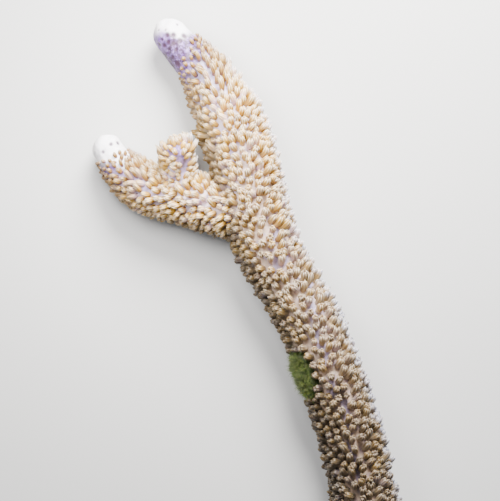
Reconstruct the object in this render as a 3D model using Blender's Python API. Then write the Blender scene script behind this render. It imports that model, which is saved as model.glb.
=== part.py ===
"""A branch of gorgonian coral, cut from its colony and lying on a flat surface.

Metres, +Z up. The branch lies along Y with its cut end towards -Y, and the
side that faces +Z is the one that is looked at. The origin is the centre of
the bottom of its box. Lengths in the tables below are in millimetres.

The coral is three tubes of flesh, studded with closed polyps: the main line
(stem and upper branch), the left branch, and a short shoot on that branch.
They are joined into one body, which is then divided at its forks.
"""

import math
import random
from bisect import bisect_right

import bmesh
import bpy
from mathutils import Vector

MM = 0.001

# Brings the centre of the coral's box to the origin, along X and Y.
SHIFT = (0.346, 0.429)

# Each row of a line is one station: x, y, height of the centre above the
# surface, radius of the skin, and how far a polyp reaches beyond the skin.
MAIN_LINE = (
    (18.3, -37.2, 4.85, 3.75, 1.45),
    (17.3, -34.6, 4.75, 3.70, 1.45),
    (15.4, -26.4, 4.75, 3.60, 1.45),
    (13.3, -19.4, 5.00, 3.55, 1.45),
    (11.5, -14.4, 5.15, 3.55, 1.45),
    (9.7, -9.9, 5.05, 3.50, 1.40),
    (7.6, -5.5, 4.75, 3.50, 1.40),
    (4.8, -0.9, 4.65, 3.50, 1.40),
    (2.6, 3.4, 4.90, 3.75, 1.45),
    (0.8, 8.1, 5.15, 3.95, 1.45),
    (-0.1, 11.8, 5.30, 4.10, 1.45),
    (-0.8, 15.4, 5.30, 4.10, 1.45),
    (-1.7, 19.0, 5.10, 3.95, 1.40),
    (-3.1, 22.6, 4.70, 3.75, 1.35),
    (-5.2, 26.2, 4.20, 3.30, 1.20),
    (-7.4, 29.8, 3.75, 2.95, 0.90),
    (-10.1, 33.2, 3.45, 2.75, 0.50),
    (-11.9, 35.2, 3.50, 2.55, 0.00),
)
LEFT_LINE = (
    (-0.8, 9.4, 5.00, 3.00, 1.40),
    (-3.6, 9.1, 4.70, 3.30, 1.40),
    (-7.4, 9.9, 4.40, 3.10, 1.35),
    (-11.1, 10.8, 4.05, 2.90, 1.30),
    (-14.8, 11.8, 3.70, 2.75, 1.25),
    (-17.1, 13.1, 3.50, 2.60, 1.05),
    (-19.6, 15.5, 3.30, 2.45, 0.60),
    (-21.3, 18.0, 3.25, 2.30, 0.00),
)
SHOOT_LINE = (
    (-10.6, 11.6, 4.70, 2.00, 1.20),
    (-10.6, 14.2, 5.50, 2.25, 1.20),
    (-10.6, 16.0, 6.80, 2.00, 1.20),
    (-10.6, 17.2, 8.10, 1.75, 1.15),
)

# Polyps side by side around each line.
MAIN_AROUND = 10
LEFT_AROUND = 8
SHOOT_AROUND = 8

# The rounded growing tips are bare, further back on the side away from the
# light than on the other. Lengths run back from the centre of the round tip.
MAIN_BARE = 3.4
MAIN_BARE_TURN = 2.2
LEFT_BARE = 0.7
LEFT_BARE_TURN = -0.5
SHOOT_BARE = -1.6
LEAST_REACH = 0.35

# A polyp's form: its flat top against the diamond it stands on, its lean
# towards the tip, and how far it strays from its place in the pattern.
TOP_HALF = 0.50
LEAN_STEM = 0.30
LEAN_TIP = 0.55
LEAN_RUN = 22.0
PLACE_STRAY = 0.13
TOP_STRAY = 0.10
REACH_STRAY = 0.14

# The fork, as seen from above: where the three pieces meet, and the
# directions in degrees from +X of the three cuts between them.
FORK_X, FORK_Y = -3.6, 11.5
CUT_RIGHT, CUT_CROTCH, CUT_BELOW = 11.3, 120.8, 271.2
PIECE_GAP = 0.3
POLYP_CLEAR = 0.55
BLOCK_REACH = 90.0
BLOCK_HEIGHT = 30.0

# Where the side shoot leaves the left branch, along its own line.
SHOOT_START = 3.3
SHOOT_HALF_WIDTH = 3.75
SHOOT_LENGTH = 6.6

# The patch of green turf alga on the stem's left side.
ALGA_CENTRE_ALONG = 23.7
ALGA_HALF_ALONG = 3.8
ALGA_HALF_AROUND = 2.6
ALGA_ANGLE = 166.0
ALGA_THICK = 1.75
ALGA_GAP = 0.3
ALGA_EDGE = 0.25
ALGA_RINGS = 4
ALGA_SPOKES = 16
ALGA_LUMP = 0.18
ALGA_CLEAR = 1.4

STEPS_PER_STATION = 24
SEED = 20
FLESH_COLOUR = (0.72, 0.57, 0.40, 1.0)
ALGA_COLOUR = (0.12, 0.22, 0.05, 1.0)


def clear_scene():
    """Removes every object that the file opened with."""
    for obj in list(bpy.data.objects):
        bpy.data.objects.remove(obj)


def between(low, high, share):
    """The value at this share of the way from low to high."""
    return low + (high - low) * share


def curve_through(before, start, end, after, t):
    """A smooth curve from start to end, at t from 0 to 1, one number each."""
    return 0.5 * (
        2 * start
        + (end - before) * t
        + (2 * before - 5 * start + 4 * end - after) * t * t
        + (3 * start - before - 3 * end + after) * t**3
    )


class Line:
    """A tube of flesh along a curve, which ends in a round tip."""

    def __init__(self, stations):
        last = len(stations) - 1
        self.rows = []
        for step in range(last * STEPS_PER_STATION + 1):
            i = min(step // STEPS_PER_STATION, last - 1)
            t = step / STEPS_PER_STATION - i
            four = [stations[max(0, min(last, i + k))] for k in (-1, 0, 1, 2)]
            self.rows.append([curve_through(*column, t) for column in zip(*four)])
        self.along = [0.0]
        for a, b in zip(self.rows, self.rows[1:]):
            self.along.append(self.along[-1] + math.dist(a[:3], b[:3]))
        self.length = self.along[-1]
        self.tip_radius = self.rows[-1][3]
        self.total = self.length + self.tip_radius * math.pi / 2

    def station(self, s):
        """Centre, direction, skin radius and polyp reach at this length."""
        s = max(0.0, min(self.length, s))
        i = min(bisect_right(self.along, s), len(self.along) - 1)
        share = (s - self.along[i - 1]) / (self.along[i] - self.along[i - 1])
        a, b = self.rows[i - 1], self.rows[i]
        row = [between(p, q, share) for p, q in zip(a, b)]
        direction = (Vector(b[:3]) - Vector(a[:3])).normalized()
        return Vector(row[:3]), direction, row[3], row[4]

    def surface(self, s, angle):
        """Point on the skin and the direction out of it. Angle 90 faces up."""
        centre, direction, radius, _ = self.station(s)
        side = direction.cross(Vector((0, 0, 1))).normalized()
        up = side.cross(direction)
        out = side * math.cos(angle) + up * math.sin(angle)
        if s > self.length:
            turn = (s - self.length) / self.tip_radius
            out = out * math.cos(turn) + direction * math.sin(turn)
        return centre + out * radius, out

    def ring_radius(self, s):
        """Radius of the ring of skin around the line at this length."""
        if s > self.length:
            return self.tip_radius * math.cos((s - self.length) / self.tip_radius)
        return self.station(s)[2]


def half_space(x, y, degrees):
    """A point on an upright plane that runs from (x, y), and its left side."""
    turn = math.radians(degrees + 90)
    return Vector((x, y, 0)), Vector((math.cos(turn), math.sin(turn), 0))


class Region:
    """A convex space, as half spaces, that one piece of the coral fills."""

    def __init__(self, *half_spaces):
        self.half_spaces = half_spaces

    def depth(self, point):
        """How deep a point is inside, or minus how far it is outside."""
        return min((point - on).dot(inward) for on, inward in self.half_spaces)


def sector(start, end):
    """The space from one cut to the next, going round the fork."""
    on, left = half_space(FORK_X, FORK_Y, start)
    _, right = half_space(FORK_X, FORK_Y, end)
    return Region((on, left), (on, -right))


def box_region(origin, axis, half_width, length):
    """A square block that starts at origin and runs along axis."""
    side = axis.cross(Vector((0, 0, 1))).normalized()
    other = side.cross(axis)
    walls = [(origin, axis), (origin + axis * length, -axis)]
    for across in (side, -side, other, -other):
        walls.append((origin + across * half_width, -across))
    return Region(*walls)


def new_object(name, mesh):
    """Puts a mesh into the scene as an object."""
    obj = bpy.data.objects.new(name, mesh)
    bpy.context.scene.collection.objects.link(obj)
    return obj


def mesh_from(name, points, faces):
    """A mesh, in metres, from points in millimetres."""
    mesh = bpy.data.meshes.new(name)
    shift = Vector((*SHIFT, 0.0))
    mesh.from_pydata([(Vector(p) + shift) * MM for p in points], [], faces)
    mesh.validate()
    tidy = bmesh.new()
    tidy.from_mesh(mesh)
    bmesh.ops.recalc_face_normals(tidy, faces=tidy.faces)
    tidy.to_mesh(mesh)
    tidy.free()
    return mesh


def polyp_rows(line, around):
    """Lengths at which the rings of the pattern lie, each half a polyp on."""
    rows = [0.0]
    while line.ring_radius(rows[-1]) > 0.36 * line.tip_radius:
        step = math.pi * line.ring_radius(rows[-1]) / around
        rows.append(rows[-1] + step)
        if rows[-1] > line.length + 1.25 * line.tip_radius:
            break
    return rows


def polyp_top(line, corners, s, angle, reach, chance):
    """The four corners of a polyp's flat top, over the diamond it stands on."""
    base, out = line.surface(s, angle)
    direction = line.station(s)[1]
    lean = between(LEAN_STEM, LEAN_TIP, max(0.0, 1 - (line.length - s) / LEAN_RUN))
    stray = Vector([chance.uniform(-TOP_STRAY, TOP_STRAY) for _ in range(3)])
    forward = direction - out * direction.dot(out)
    middle = base + out * reach + forward * lean * reach + stray * reach
    top = []
    for corner in corners:
        arm = corner - base
        arm -= out * arm.dot(out)
        arm.normalize()
        top.append(middle + arm * TOP_HALF)
    return middle, top


def studded_tube(name, line, around, bare, bare_turn, keep, seed):
    """A tube of flesh whose skin is a pattern of diamonds, most with a polyp.

    keep(base, top) says whether a polyp may stand there.
    """
    chance = random.Random(seed)
    rows = polyp_rows(line, around)
    pitch = math.tau / around
    points, faces = [], []
    spots = {}
    for i, s in enumerate(rows):
        last = i in (0, len(rows) - 1)
        step = 0.0 if last else (rows[i + 1] - rows[i]) * PLACE_STRAY
        for j in range(around):
            angle = (j + 0.5 * (i % 2)) * pitch
            if not last:
                angle += chance.uniform(-PLACE_STRAY, PLACE_STRAY) * pitch / 2
            spots[i, j] = len(points)
            points.append(line.surface(s + chance.uniform(-step, step), angle)[0])
    for i, s in enumerate(rows):
        for j in range(around):
            ahead = (j + i % 2) % around
            left, right = spots[i, j], spots[i, (j + 1) % around]
            if i == 0:
                faces.append((left, right, spots[1, ahead]))
                continue
            if i == len(rows) - 1:
                faces.append((right, left, spots[i - 1, ahead]))
                continue
            corners = (left, spots[i - 1, ahead], right, spots[i + 1, ahead])
            angle = (j + 0.5 + 0.5 * (i % 2)) * pitch
            reach = line.station(s)[3] * chance.uniform(1 - REACH_STRAY, 1 + REACH_STRAY)
            reach = min(reach, (line.length - bare + bare_turn * math.cos(angle) - s) * 0.4)
            base = line.surface(s, angle)[0]
            middle, top = polyp_top(
                line, [points[c] for c in corners], s, angle, reach, chance
            )
            if reach < LEAST_REACH or not keep(base, middle, s, angle):
                faces.append(corners)
                continue
            first = len(points)
            points.extend(top)
            tops = range(first, first + 4)
            faces.append(tuple(tops))
            for k in range(4):
                after = (k + 1) % 4
                faces.append((corners[k], corners[after], tops[after], tops[k]))
    faces.append(tuple(spots[0, j] for j in range(around)))
    pole = len(points)
    points.append(line.surface(line.total, 0.0)[0])
    end = len(rows) - 1
    for j in range(around):
        faces.append((spots[end, j], spots[end, (j + 1) % around], pole))
    return new_object(name, mesh_from(name, points, faces))


def block(name, outline, low, high):
    """An upright block over an outline that is seen from above."""
    count = len(outline)
    points = [(x, y, z) for z in (low, high) for x, y in outline]
    faces = [tuple(range(count)), tuple(range(count, 2 * count))]
    for i in range(count):
        after = (i + 1) % count
        faces.append((i, after, after + count, i + count))
    return helper(new_object(name, mesh_from(name, points, faces)))


def sector_block(name, start, end):
    """The block that holds one sector, less half the gap to its neighbours."""
    middle, half = math.radians((start + end) / 2), math.radians((end - start) / 2)
    back = PIECE_GAP / 2 / math.sin(half)
    x = FORK_X + back * math.cos(middle)
    y = FORK_Y + back * math.sin(middle)
    outline = [(x, y)]
    for degrees in (start, (start + end) / 2, end):
        turn = math.radians(degrees)
        outline.append((x + BLOCK_REACH * math.cos(turn), y + BLOCK_REACH * math.sin(turn)))
    return block(name, outline, 0.0, BLOCK_HEIGHT)


def shoot_block(name, origin, axis, grow):
    """The square block that divides the side shoot from its branch."""
    half = SHOOT_HALF_WIDTH + grow
    side = axis.cross(Vector((0, 0, 1))).normalized()
    other = side.cross(axis)
    points = []
    for run in (-grow, SHOOT_LENGTH):
        for a, b in ((-1, -1), (1, -1), (1, 1), (-1, 1)):
            points.append(origin + axis * run + side * a * half + other * b * half)
    faces = [(0, 1, 2, 3), (4, 5, 6, 7)]
    faces += [(i, (i + 1) % 4, (i + 1) % 4 + 4, i + 4) for i in range(4)]
    return helper(new_object(name, mesh_from(name, points, faces)))


def helper(obj):
    """Marks an object that only shapes others, which no render shows."""
    obj.hide_render = True
    obj.display_type = "WIRE"
    return obj


def add_boolean(obj, operation, other):
    """Joins, cuts or keeps what obj shares with another solid."""
    change = obj.modifiers.new(f"{operation.lower()}_{other.name}", "BOOLEAN")
    change.operation = operation
    change.solver = "EXACT"
    change.object = other


def material(name, colour, roughness):
    """A plain finish."""
    made = bpy.data.materials.new(name)
    made.use_nodes = True
    shader = made.node_tree.nodes["Principled BSDF"]
    shader.inputs["Base Color"].default_value = colour
    shader.inputs["Roughness"].default_value = roughness
    shader.inputs["Metallic"].default_value = 0.0
    made.diffuse_color = colour
    return made


def alga_offset(s, angle):
    """A place on the stem against the alga's outline, where 1 is its edge."""
    along = (s - ALGA_CENTRE_ALONG) / ALGA_HALF_ALONG
    radius = MAIN_LINE[0][3]
    turn = (angle - math.radians(ALGA_ANGLE) + math.pi) % math.tau - math.pi
    return math.hypot(along, turn * radius / ALGA_HALF_AROUND)


def alga_patch(line):
    """The cushion of turf alga that grows on the stem's side."""
    chance = random.Random(SEED + 7)
    points, faces = [], []
    radius = line.station(ALGA_CENTRE_ALONG)[2]

    def place(share, turn, lift):
        s = ALGA_CENTRE_ALONG + ALGA_HALF_ALONG * share * math.cos(turn)
        around = ALGA_HALF_AROUND * share * math.sin(turn) / radius
        point, out = line.surface(s, math.radians(ALGA_ANGLE) + around)
        return point + out * lift

    for under in (True, False):
        for ring in range(ALGA_RINGS + 1):
            share = ring / ALGA_RINGS
            for spoke in range(ALGA_SPOKES if ring else 1):
                turn = math.tau * (spoke + 0.5 * (ring % 2)) / ALGA_SPOKES
                swell = math.sqrt(max(0.0, 1 - share**2.4))
                lump = chance.uniform(-ALGA_LUMP, ALGA_LUMP) * swell
                lift = ALGA_GAP
                if not under:
                    lift += ALGA_EDGE + (ALGA_THICK - ALGA_EDGE) * swell + lump
                points.append(place(share, turn, lift))
    layer = len(points) // 2

    def spot(low, ring, spoke):
        start = 0 if low else layer
        return start + (1 + (ring - 1) * ALGA_SPOKES + spoke % ALGA_SPOKES if ring else 0)

    for low in (True, False):
        for spoke in range(ALGA_SPOKES):
            faces.append((spot(low, 0, 0), spot(low, 1, spoke), spot(low, 1, spoke + 1)))
        for ring in range(1, ALGA_RINGS):
            for spoke in range(ALGA_SPOKES):
                a, b = spot(low, ring, spoke), spot(low, ring, spoke + 1)
                shift = ring % 2
                c = spot(low, ring + 1, spoke + shift)
                d = spot(low, ring + 1, spoke + shift + 1)
                if shift:
                    faces += [(a, b, c), (b, c, d)]
                else:
                    faces += [(a, c, d), (a, d, b)]
    for spoke in range(ALGA_SPOKES):
        a, b = spot(True, ALGA_RINGS, spoke), spot(True, ALGA_RINGS, spoke + 1)
        c, d = spot(False, ALGA_RINGS, spoke), spot(False, ALGA_RINGS, spoke + 1)
        faces.append((a, b, d, c))
    return new_object("turf_alga", mesh_from("turf_alga", points, faces))


def build():
    """Builds the four pieces of coral and the alga on the stem."""
    clear_scene()
    main, left, shoot = Line(MAIN_LINE), Line(LEFT_LINE), Line(SHOOT_LINE)
    start, axis, _, _ = shoot.station(SHOOT_START)
    shoot_region = box_region(start, axis, SHOOT_HALF_WIDTH, SHOOT_LENGTH)
    sectors = {
        "upper_branch": (CUT_RIGHT, CUT_CROTCH),
        "left_branch": (CUT_CROTCH, CUT_BELOW),
        "stem": (CUT_BELOW, CUT_RIGHT + 360),
    }
    regions = {name: sector(*angles) for name, angles in sectors.items()}

    def keeps_clear(base, top):
        """True if a polyp stands well inside one piece of the coral."""
        in_shoot = [shoot_region.depth(p) for p in (base, top)]
        if min(in_shoot) > POLYP_CLEAR:
            return True
        if max(in_shoot) > -POLYP_CLEAR:
            return False
        return any(
            min(region.depth(base), region.depth(top)) > POLYP_CLEAR
            for region in regions.values()
        )

    def keep_main(base, top, s, angle):
        return keeps_clear(base, top) and alga_offset(s, angle) > ALGA_CLEAR

    def keep(base, top, _s, _angle):
        return keeps_clear(base, top)

    whole = studded_tube("main_tube", main, MAIN_AROUND, MAIN_BARE, MAIN_BARE_TURN, keep_main, SEED)
    left_tube = studded_tube("left_tube", left, LEFT_AROUND, LEFT_BARE, LEFT_BARE_TURN, keep, SEED + 1)
    shoot_tube = studded_tube("shoot_tube", shoot, SHOOT_AROUND, SHOOT_BARE, 0.0, keep, SEED + 2)
    for other in (left_tube, shoot_tube):
        add_boolean(whole, "UNION", helper(other))
    helper(whole)
    graph = bpy.context.evaluated_depsgraph_get()
    joined = bpy.data.meshes.new_from_object(whole.evaluated_get(graph))

    flesh = material("coral_flesh", FLESH_COLOUR, 0.6)
    shoot_keeps = shoot_block("shoot_keeps", start, axis, 0.0)
    branch_loses = shoot_block("branch_loses", start, axis, PIECE_GAP)
    for name, (low, high) in sectors.items():
        piece = new_object(name, joined.copy())
        add_boolean(piece, "INTERSECT", sector_block(f"{name}_block", low, high))
        if name == "left_branch":
            add_boolean(piece, "DIFFERENCE", branch_loses)
        dress(piece, flesh)
    piece = new_object("side_shoot", joined.copy())
    add_boolean(piece, "INTERSECT", shoot_keeps)
    dress(piece, flesh)
    dress(alga_patch(main), material("turf_alga", ALGA_COLOUR, 0.9))


def dress(obj, finish):
    """Gives a piece its one material."""
    obj.data.materials.clear()
    obj.data.materials.append(finish)


build()
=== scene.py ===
"""The looks of a cut branch of gorgonian coral that lies on a pale surface.

The flesh is one continuous skin over the stem, both branches and the short
shoot. Closed polyps cover it, except at the growing tips and under a tuft of
green turf alga. Lengths are in millimetres until a mesh is written out.
"""

import functools
import itertools
import logging
import math
from dataclasses import dataclass, field
from enum import Enum
from typing import ClassVar

import bmesh
import bpy
import numpy as np
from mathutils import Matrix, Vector
from mathutils.bvhtree import BVHTree
from mathutils.kdtree import KDTree


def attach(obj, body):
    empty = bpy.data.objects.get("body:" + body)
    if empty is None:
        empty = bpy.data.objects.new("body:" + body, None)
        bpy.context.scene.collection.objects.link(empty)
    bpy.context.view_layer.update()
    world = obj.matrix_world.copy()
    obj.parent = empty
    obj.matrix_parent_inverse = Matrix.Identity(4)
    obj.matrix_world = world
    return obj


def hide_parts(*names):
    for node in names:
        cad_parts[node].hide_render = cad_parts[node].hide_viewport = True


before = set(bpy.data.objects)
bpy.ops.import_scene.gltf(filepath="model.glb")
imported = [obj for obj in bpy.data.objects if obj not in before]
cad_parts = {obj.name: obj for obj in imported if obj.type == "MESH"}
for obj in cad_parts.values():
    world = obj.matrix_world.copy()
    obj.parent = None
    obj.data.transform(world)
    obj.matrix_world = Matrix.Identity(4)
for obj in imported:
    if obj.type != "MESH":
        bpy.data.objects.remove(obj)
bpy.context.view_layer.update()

MM = 0.001
BODY = "root"
# The branch is drawn in the photograph's pixels, 0.15 mm each, and moved so
# that the centre of its box is at the origin.
PIXEL = 0.15
SHIFT = (0.346, 0.429)
PIXEL_ORIGIN = (249.0, 269.0)
# No flesh comes nearer to the surface, and skin this near to the cut is on it.
LEAST_HEIGHT = 0.02
ON_CUT = 0.02
# The ways that the bright, the lit and the outermost right sides face. Flesh turned from the bright
# side gets painted shade, and polyps that face the outermost right side get a painted bluish rim
# light.
PAINTED_LIT_SIDE = (0.65, 0.15, 0.75)
LIT_SIDE = (0.85, 0.35, 0.40)
PAINTED_RIM_SIDE = (0.93, 0.37, 0.0)
# A depth that stands for well outside a patch or strip.
FAR_OFF = 9.0
# Points that are looked up at a time, and the steps to a cell and its neighbours.
BATCH = 6000
NEIGHBOURS = tuple(itertools.product((-1, 0, 1), repeat=3))

Array = np.ndarray
Triple = tuple[float, float, float]
Mesh = bpy.types.Mesh
Material = bpy.types.Material
Socket = bpy.types.NodeSocket

log = logging.getLogger("coral")


def from_pixel(x: float, y: float) -> Array:
    """Finds a place of the photograph's frame on the surface.

    Args:
        x: pixels from the left edge.
        y: pixels from the top edge.

    Returns:
        x and y in millimetres.
    """
    across, down = PIXEL_ORIGIN
    return np.array([(x - across) * PIXEL + SHIFT[0], (down - y) * PIXEL + SHIFT[1]])


def unit(rows: Array) -> Array:
    """Gives each row of an array the length 1."""
    return rows / np.maximum(np.linalg.norm(rows, axis=-1, keepdims=True), 1e-9)


def smooth_step(low: float, high: float, values: Array) -> Array:
    """Rises smoothly from 0 at low to 1 at high."""
    share = np.clip((values - low) / (high - low), 0.0, 1.0)
    return share * share * (3 - 2 * share)


def blend(low: Array, high: Array, share: Array) -> Array:
    """The value at this share of the way from low to high."""
    return low + (high - low) * share


def dot(a: Array, b: Array) -> Array:
    """The dot product of each pair of rows."""
    return np.einsum("ij,ij->i", a, b)


def pairs(around: int) -> list[tuple[int, int]]:
    """Each point of a ring with the one after it."""
    return [(j, (j + 1) % around) for j in range(around)]


def tube_faces(rings: int, around: int) -> list[tuple[int, ...]]:
    """Joins rings of points, one after the other, into a tube.

    Args:
        rings: how many rings there are.
        around: points in each ring.

    Returns:
        The faces, each of four points.
    """
    return [
        (low + j, low + k, low + around + k, low + around + j)
        for low in range(0, (rings - 1) * around, around)
        for j, k in pairs(around)
    ]


class Branch(Enum):
    """The lines along which the coral grew."""

    MAIN = 0
    LEFT = 1
    SHOOT = 2


@dataclass
class GrowthLine:
    """A tube of flesh along a curve, which ends in a round growing tip.

    Each station is x, y, the centre's height, and the skin's radius.
    """

    branch: Branch
    stations: tuple[tuple[float, float, float, float], ...]
    bare: float
    bare_turn: float
    steps: int = 24
    centres: Array = field(init=False)
    tangents: Array = field(init=False)
    radii: Array = field(init=False)
    along: Array = field(init=False)

    def __post_init__(self) -> None:
        """Draws the smooth curve through the stations."""
        rows = np.array(self.stations) + (*SHIFT, 0.0, 0.0)
        padded = np.vstack([rows[:1], rows, rows[-1:]])
        t = np.linspace(0, 1, self.steps, endpoint=False)[:, None]
        parts = []
        for i in range(len(rows) - 1):
            before, start, end, after = padded[i : i + 4]
            second = 2 * before - 5 * start + 4 * end - after
            third = 3 * start - before - 3 * end + after
            parts.append(0.5 * (2 * start + (end - before) * t + second * t**2 + third * t**3))
        curve = np.vstack([*parts, rows[-1:]])
        self.centres, self.radii = curve[:, :3], curve[:, 3]
        self.tangents = unit(np.gradient(self.centres, axis=0))
        steps = np.linalg.norm(np.diff(self.centres, axis=0), axis=1)
        self.along = np.concatenate([[0.0], np.cumsum(steps)])

    @property
    def length(self) -> float:
        """Length from the start of the line to the centre of its tip."""
        return float(self.along[-1])

    def sides(self) -> tuple[Array, Array]:
        """The directions to the right and up, across the line."""
        side = unit(np.cross(self.tangents, (0.0, 0.0, 1.0)))
        return side, np.cross(side, self.tangents)

    def tube(self, around: int, spacing: float, extra: float) -> tuple[Array, list]:
        """Makes the closed tube of flesh.

        Args:
            around: points in each ring.
            spacing: length between rings.
            extra: length to add before the start.

        Returns:
            The points and the faces.
        """
        side, up = self.sides()
        turns = np.linspace(0, math.tau, around, endpoint=False)
        index = np.searchsorted(self.along, np.arange(0.0, self.length, spacing))
        dome = np.linspace(0, math.pi / 2, 9)[:-1, None]
        pick = np.concatenate([[0], index, np.full(len(dome), -1)])
        end = self.tangents[-1] * self.radii[-1]
        start = self.centres[:1] - self.tangents[:1] * extra
        centres = np.vstack([start, self.centres[index], self.centres[-1] + end * np.sin(dome)])
        radii = self.radii[pick]
        radii[-len(dome) :] *= np.cos(dome[:, 0])
        arms = np.cos(turns)[:, None] * side[pick, None] + np.sin(turns)[:, None] * up[pick, None]
        rings = centres[:, None] + arms * radii[:, None, None]
        points = np.vstack([rings.reshape(-1, 3), self.centres[-1:] + end])
        faces = [tuple(reversed(range(around))), *tube_faces(len(rings), around)]
        last, pole = (len(rings) - 1) * around, len(points) - 1
        return points, faces + [(last + j, last + k, pole) for j, k in pairs(around)]


@dataclass
class Place:
    """Where points of the skin lie along the lines of growth."""

    branch: Array
    along: Array
    to_tip: Array
    turn: Array
    tangent: Array
    bare: Array

    def pick(self, keep: Array) -> "Place":
        """The places of the points that are kept."""
        return Place(**{name: values[keep] for name, values in vars(self).items()})


@dataclass
class Skeleton:
    """The three lines of growth together, without flesh."""

    lines: list[GrowthLine]

    def locate(self, points: Array) -> Place:
        """Finds the line that each point belongs to, and where along it.

        Args:
            points: places on or near the skin.

        Returns:
            The place of each point.
        """
        count = len(points)
        best = np.full(count, 1e9)
        found = {name: np.zeros(count) for name in ("branch", "along", "to_tip", "turn", "bare")}
        found["tangent"] = np.zeros((count, 3))
        for line in self.lines:
            side, up = line.sides()
            for start in range(0, count, BATCH):
                rows = slice(start, start + BATCH)
                arms = points[rows, None, :] - line.centres[None, :, :]
                far = np.linalg.norm(arms, axis=2) / line.radii[None, :]
                pick = far.argmin(axis=1)
                index = np.arange(len(pick))
                near, arm = far[index, pick], arms[index, pick]
                beyond = np.maximum(dot(arm, line.tangents[pick]), 0)
                turn = np.arctan2(dot(arm, up[pick]), dot(arm, side[pick]))
                edge = line.bare - line.bare_turn * np.cos(turn)
                values = {
                    "branch": np.full(len(pick), line.branch.value),
                    "along": line.along[pick],
                    "to_tip": line.length - line.along[pick] - beyond,
                    "turn": turn,
                    "tangent": line.tangents[pick],
                    "bare": line.length - line.along[pick] - edge - beyond,
                }
                wins = near < best[rows]
                best[rows][wins] = near[wins]
                for name, value in values.items():
                    found[name][rows][wins] = value[wins]
        found["branch"] = found["branch"].astype(int)
        return Place(**found)


def make_mesh(name: str, points: Array, faces: list) -> Mesh:
    """Writes a mesh.

    Args:
        name: what to call it.
        points: its points, in millimetres.
        faces: rows of points.

    Returns:
        The mesh, in metres.
    """
    mesh = bpy.data.meshes.new(name)
    mesh.from_pydata((points * MM).tolist(), [], faces)
    mesh.update()
    return mesh


def make_object(name: str, data: bpy.types.ID) -> bpy.types.Object:
    """Puts a mesh, a lamp or a camera into the scene.

    Args:
        name: what to call the object.
        data: what it shows.

    Returns:
        The object.
    """
    obj = bpy.data.objects.new(name, data)
    bpy.context.scene.collection.objects.link(obj)
    return obj


def write_cues(mesh: Mesh, **cues: Array) -> None:
    """Stores numbers for each point of a mesh, for its finish to read.

    Args:
        mesh: the mesh.
        cues: the numbers, by name.
    """
    for name, values in cues.items():
        layer = mesh.attributes.new(name, "FLOAT", "POINT")
        layer.data.foreach_set("value", np.asarray(values, np.float32).ravel())


def shade_smooth(mesh: Mesh) -> None:
    """Shades every face of a mesh smooth."""
    mesh.polygons.foreach_set("use_smooth", np.ones(len(mesh.polygons), bool))


def read_rows(items: bpy.types.bpy_prop_collection, name: str) -> Array:
    """Reads three numbers from each item.

    Args:
        items: a mesh's points or their normals.
        name: what to read.

    Returns:
        A row for each item.
    """
    flat = np.zeros(len(items) * 3)
    items.foreach_get(name, flat)
    return flat.reshape(-1, 3)


def points_of(mesh: Mesh) -> Array:
    """The points of a mesh, in the units that it is in."""
    return read_rows(mesh.vertices, "co")


def normals_of(mesh: Mesh) -> Array:
    """The directions out of a mesh at its points."""
    return read_rows(mesh.vertex_normals, "vector")


def waves(points: Array, seed: int, length: float, count: int = 14) -> Array:
    """Smooth noise in space, as a sum of seeded waves.

    Args:
        points: where it is wanted.
        seed: picks one pattern.
        length: about how long a wave is.
        count: how many waves are summed.

    Returns:
        The noise at each point, from about -1 to 1.
    """
    chance = np.random.default_rng(seed)
    heading = unit(chance.normal(size=(count, 3)))
    turns = heading * (math.tau / length) * chance.uniform(0.6, 1.5, (count, 1))
    phases = chance.uniform(0, math.tau, count)
    return np.sin(points @ turns.T + phases).sum(axis=1) / math.sqrt(count)


def lumps(points: Array, *layers: tuple[int, float, float]) -> Array:
    """Adds up layers of waves, each with its seed, length and height."""
    return sum(waves(points, seed, length) * height for seed, length, height in layers)


def lift(points: Array) -> None:
    """Lifts the points that are too near the surface."""
    points[..., 2] = np.maximum(points[..., 2], LEAST_HEIGHT)


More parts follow.
